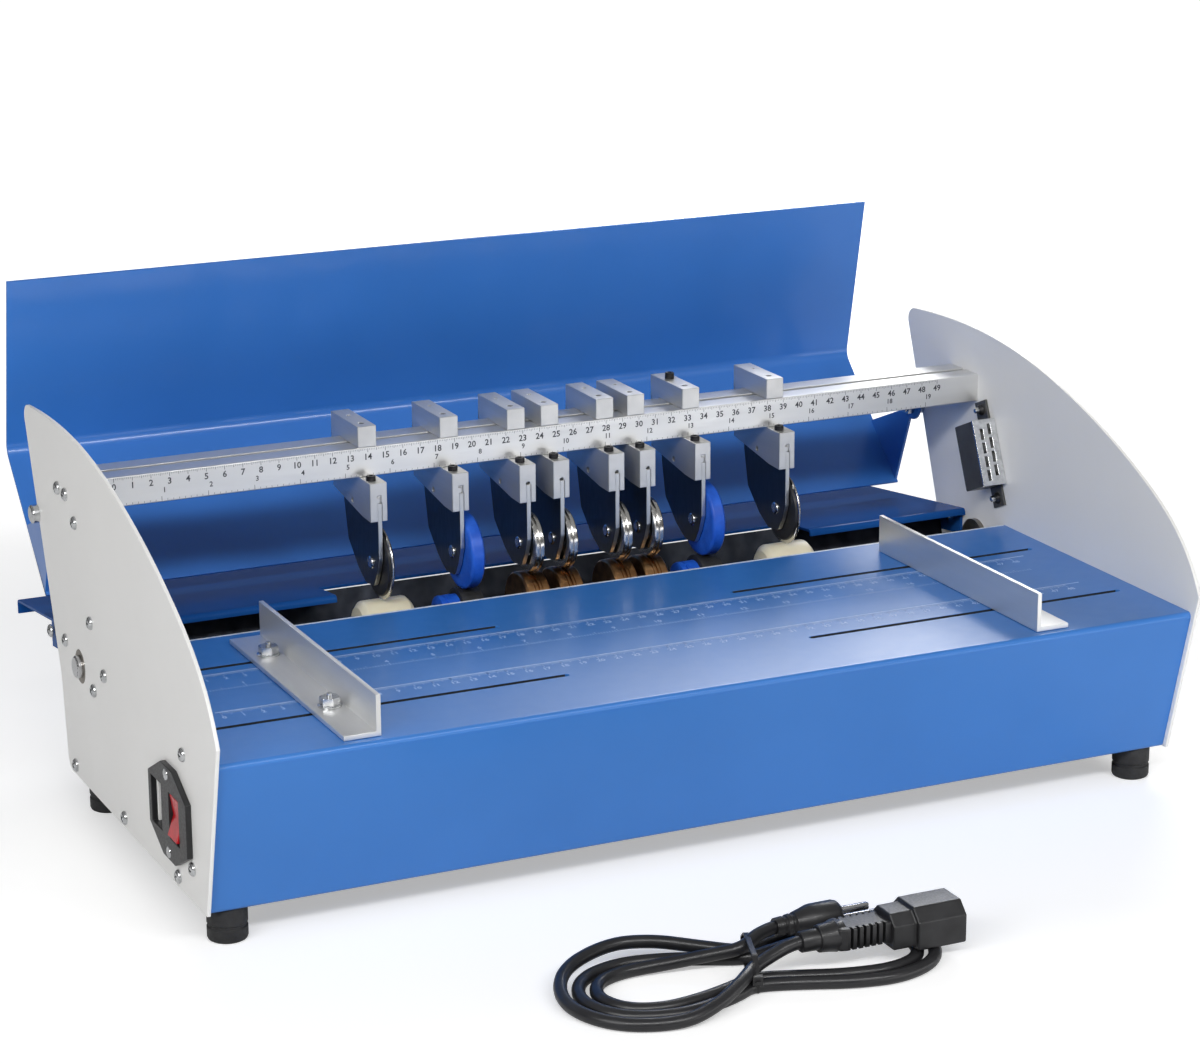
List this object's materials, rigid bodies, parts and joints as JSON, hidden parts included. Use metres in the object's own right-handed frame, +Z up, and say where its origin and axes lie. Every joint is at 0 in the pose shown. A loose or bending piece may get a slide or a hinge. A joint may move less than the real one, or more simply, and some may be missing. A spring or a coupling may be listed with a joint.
{
  "type": "paper creasing machine",
  "caption": "Desktop paper creasing machine: folded blue case between white side panels, scale beam with sliding wheel carriers over a driven shaft, two fences, and a hinged cover.",
  "frame": {"origin": "centre of the footprint of the machine with its cover open, on the surface it stands on", "axes": "+X to the right along the scale beam, +Y to the back, towards the exit tray, +Z up"},
  "size_m": [0.5518, 0.5267, 0.262],
  "materials": {
    "white_powder_coat": "satin powder coat",
    "blue_powder_coat": "satin powder coat",
    "blue_gloss": "gloss paint",
    "aluminium": "satin anodised",
    "ground_steel": "ground",
    "screw_steel": "zinc plated",
    "galvanised_steel": "galvanised",
    "motor_steel": "black",
    "die_brass": "turned",
    "bearing_brass": "turned",
    "black_rubber": "matt",
    "blue_rubber": "satin",
    "ivory_nylon": "satin",
    "black_plastic": "moulded",
    "catch_plastic": "moulded",
    "red_plastic": "polished",
    "black_cord": "satin"
  },
  "bodies": {
    "frame": {"left_side_panel": "white_powder_coat", "right_side_panel": "white_powder_coat", "panel_screws": "screw_steel", "scale_beam": "aluminium", "base_deck": "blue_powder_coat", "bottom_pan": "galvanised_steel", "exit_tray": "blue_gloss", "cover_pivots": "screw_steel", "shaft_bearings": "bearing_brass", "tie_rod": "ground_steel", "drive_motor": "motor_steel", "motor_bracket": "galvanised_steel", "drive_belt": "black_rubber", "power_inlet": "black_plastic", "magnetic_catches": "catch_plastic", "rubber_feet": "black_rubber", "power_lead": "black_cord", "lead_connector": "black_plastic", "lead_plug": "black_plastic"},
    "cover": {"cover": "blue_powder_coat"},
    "lower_shaft": {"lower_shaft": "ground_steel", "shaft_pulley": "aluminium"},
    "motor_pulley": {"motor_pulley": "aluminium"},
    "left_fence": {"left_fence": "aluminium", "left_fence_bolts": "screw_steel"},
    "right_fence": {"right_fence": "aluminium", "right_fence_bolts": "screw_steel"},
    "rocker": {"rocker_switch": "red_plastic"},
    "carrier_1": {"carrier_1": "aluminium", "wheel_arm_1": "ground_steel"},
    "perforating_wheel_1": {"perforating_wheel_1": "black_plastic"},
    "nylon_roller_1": {"nylon_roller_1": "ivory_nylon"},
    "carrier_2": {"carrier_2": "aluminium", "wheel_arm_2": "ground_steel"},
    "feed_wheel_2": {"feed_wheel_2": "blue_rubber"},
    "feed_roller_2": {"feed_roller_2": "black_rubber"},
    "carrier_3": {"carrier_3": "aluminium", "wheel_arm_3": "ground_steel"},
    "creasing_wheel_3": {"creasing_wheel_3": "ground_steel"},
    "creasing_die_3": {"creasing_die_3": "die_brass"},
    "carrier_4": {"carrier_4": "aluminium", "wheel_arm_4": "ground_steel"},
    "creasing_wheel_4": {"creasing_wheel_4": "ground_steel"},
    "creasing_die_4": {"creasing_die_4": "die_brass"},
    "carrier_5": {"carrier_5": "aluminium", "wheel_arm_5": "ground_steel"},
    "creasing_wheel_5": {"creasing_wheel_5": "ground_steel"},
    "creasing_die_5": {"creasing_die_5": "die_brass"},
    "carrier_6": {"carrier_6": "aluminium", "wheel_arm_6": "ground_steel"},
    "creasing_wheel_6": {"creasing_wheel_6": "ground_steel"},
    "creasing_die_6": {"creasing_die_6": "die_brass"},
    "carrier_7": {"carrier_7": "aluminium", "wheel_arm_7": "ground_steel"},
    "feed_wheel_7": {"feed_wheel_7": "blue_rubber"},
    "feed_roller_7": {"feed_roller_7": "black_rubber"},
    "carrier_8": {"carrier_8": "aluminium", "wheel_arm_8": "ground_steel"},
    "perforating_wheel_8": {"perforating_wheel_8": "black_plastic"},
    "nylon_roller_8": {"nylon_roller_8": "ivory_nylon"}
  },
  "joints": [
    {"name": "cover_hinge", "type": "hinge", "parent": "frame", "child": "cover", "pos_m": [0, 0.102, 0.149], "axis": [1, 0, 0], "range_deg": [0, 129]},
    {"name": "lower_shaft_spin", "type": "hinge", "parent": "frame", "child": "lower_shaft", "pos_m": [0, 0.035, 0.0835], "axis": [1, 0, 0], "continuous": true},
    {"name": "motor_pulley_spin", "type": "hinge", "parent": "frame", "child": "motor_pulley", "pos_m": [-0.258, -0.057, 0.054], "axis": [1, 0, 0], "continuous": true},
    {"name": "left_fence_slide", "type": "slide", "parent": "frame", "child": "left_fence", "axis": [1, 0, 0], "range_m": [-0.055, 0.115]},
    {"name": "right_fence_slide", "type": "slide", "parent": "frame", "child": "right_fence", "axis": [1, 0, 0], "range_m": [-0.11, 0.062]},
    {"name": "rocker_tip", "type": "hinge", "parent": "frame", "child": "rocker", "pos_m": [-0.2675, -0.1265, 0.055], "axis": [0, 1, 0], "range_deg": [-10, 0]},
    {"name": "carrier_1_slide", "type": "slide", "parent": "frame", "child": "carrier_1", "axis": [1, 0, 0], "range_m": [-0.06, 0.007]},
    {"name": "wheel_1_spin", "type": "hinge", "parent": "carrier_1", "child": "perforating_wheel_1", "pos_m": [-0.1042, 0.035, 0.1185], "axis": [1, 0, 0], "continuous": true},
    {"name": "roller_1_slide", "type": "slide", "parent": "lower_shaft", "child": "nylon_roller_1", "axis": [1, 0, 0], "range_m": [-0.06, 0.007]},
    {"name": "carrier_2_slide", "type": "slide", "parent": "frame", "child": "carrier_2", "axis": [1, 0, 0], "range_m": [-0.007, 0.0105]},
    {"name": "wheel_2_spin", "type": "hinge", "parent": "carrier_2", "child": "feed_wheel_2", "pos_m": [-0.0572, 0.035, 0.1185], "axis": [1, 0, 0], "continuous": true},
    {"name": "roller_2_slide", "type": "slide", "parent": "lower_shaft", "child": "feed_roller_2", "axis": [1, 0, 0], "range_m": [-0.007, 0.0105]},
    {"name": "carrier_3_slide", "type": "slide", "parent": "frame", "child": "carrier_3", "axis": [1, 0, 0], "range_m": [-0.0105, 0.0025]},
    {"name": "wheel_3_spin", "type": "hinge", "parent": "carrier_3", "child": "creasing_wheel_3", "pos_m": [-0.0179, 0.035, 0.1185], "axis": [1, 0, 0], "continuous": true},
    {"name": "roller_3_slide", "type": "slide", "parent": "lower_shaft", "child": "creasing_die_3", "axis": [1, 0, 0], "range_m": [-0.0105, 0.0025]},
    {"name": "carrier_4_slide", "type": "slide", "parent": "frame", "child": "carrier_4", "axis": [1, 0, 0], "range_m": [-0.0025, 0.009]},
    {"name": "wheel_4_spin", "type": "hinge", "parent": "carrier_4", "child": "creasing_wheel_4", "pos_m": [0.0021, 0.035, 0.1185], "axis": [1, 0, 0], "continuous": true},
    {"name": "roller_4_slide", "type": "slide", "parent": "lower_shaft", "child": "creasing_die_4", "axis": [1, 0, 0], "range_m": [-0.0025, 0.009]},
    {"name": "carrier_5_slide", "type": "slide", "parent": "frame", "child": "carrier_5", "axis": [1, 0, 0], "range_m": [-0.009, 0.002]},
    {"name": "wheel_5_spin", "type": "hinge", "parent": "carrier_5", "child": "creasing_wheel_5", "pos_m": [0.0352, 0.035, 0.1185], "axis": [1, 0, 0], "continuous": true},
    {"name": "roller_5_slide", "type": "slide", "parent": "lower_shaft", "child": "creasing_die_5", "axis": [1, 0, 0], "range_m": [-0.009, 0.002]},
    {"name": "carrier_6_slide", "type": "slide", "parent": "frame", "child": "carrier_6", "axis": [1, 0, 0], "range_m": [-0.002, 0.006]},
    {"name": "wheel_6_spin", "type": "hinge", "parent": "carrier_6", "child": "creasing_wheel_6", "pos_m": [0.0541, 0.035, 0.1185], "axis": [1, 0, 0], "continuous": true},
    {"name": "roller_6_slide", "type": "slide", "parent": "lower_shaft", "child": "creasing_die_6", "axis": [1, 0, 0], "range_m": [-0.002, 0.006]},
    {"name": "carrier_7_slide", "type": "slide", "parent": "frame", "child": "carrier_7", "axis": [1, 0, 0], "range_m": [-0.006, 0.014]},
    {"name": "wheel_7_spin", "type": "hinge", "parent": "carrier_7", "child": "feed_wheel_7", "pos_m": [0.088, 0.035, 0.1185], "axis": [1, 0, 0], "continuous": true},
    {"name": "roller_7_slide", "type": "slide", "parent": "lower_shaft", "child": "feed_roller_7", "axis": [1, 0, 0], "range_m": [-0.006, 0.014]},
    {"name": "carrier_8_slide", "type": "slide", "parent": "frame", "child": "carrier_8", "axis": [1, 0, 0], "range_m": [-0.014, 0.06]},
    {"name": "wheel_8_spin", "type": "hinge", "parent": "carrier_8", "child": "perforating_wheel_8", "pos_m": [0.1407, 0.035, 0.1185], "axis": [1, 0, 0], "continuous": true},
    {"name": "roller_8_slide", "type": "slide", "parent": "lower_shaft", "child": "nylon_roller_8", "axis": [1, 0, 0], "range_m": [-0.014, 0.06]}
  ],
  "couplings": [
    {"joint": "motor_pulley_spin", "follows": "lower_shaft_spin", "ratio": 1.3333},
    {"joint": "wheel_1_spin", "follows": "lower_shaft_spin", "ratio": -0.65238},
    {"joint": "roller_1_slide", "follows": "carrier_1_slide", "ratio": 1},
    {"joint": "wheel_2_spin", "follows": "lower_shaft_spin", "ratio": -0.65238},
    {"joint": "roller_2_slide", "follows": "carrier_2_slide", "ratio": 1},
    {"joint": "wheel_3_spin", "follows": "lower_shaft_spin", "ratio": -0.92778},
    {"joint": "roller_3_slide", "follows": "carrier_3_slide", "ratio": 1},
    {"joint": "wheel_4_spin", "follows": "lower_shaft_spin", "ratio": -0.92778},
    {"joint": "roller_4_slide", "follows": "carrier_4_slide", "ratio": 1},
    {"joint": "wheel_5_spin", "follows": "lower_shaft_spin", "ratio": -0.92778},
    {"joint": "roller_5_slide", "follows": "carrier_5_slide", "ratio": 1},
    {"joint": "wheel_6_spin", "follows": "lower_shaft_spin", "ratio": -0.92778},
    {"joint": "roller_6_slide", "follows": "carrier_6_slide", "ratio": 1},
    {"joint": "wheel_7_spin", "follows": "lower_shaft_spin", "ratio": -0.65238},
    {"joint": "roller_7_slide", "follows": "carrier_7_slide", "ratio": 1},
    {"joint": "wheel_8_spin", "follows": "lower_shaft_spin", "ratio": -0.65238},
    {"joint": "roller_8_slide", "follows": "carrier_8_slide", "ratio": 1}
  ]
}
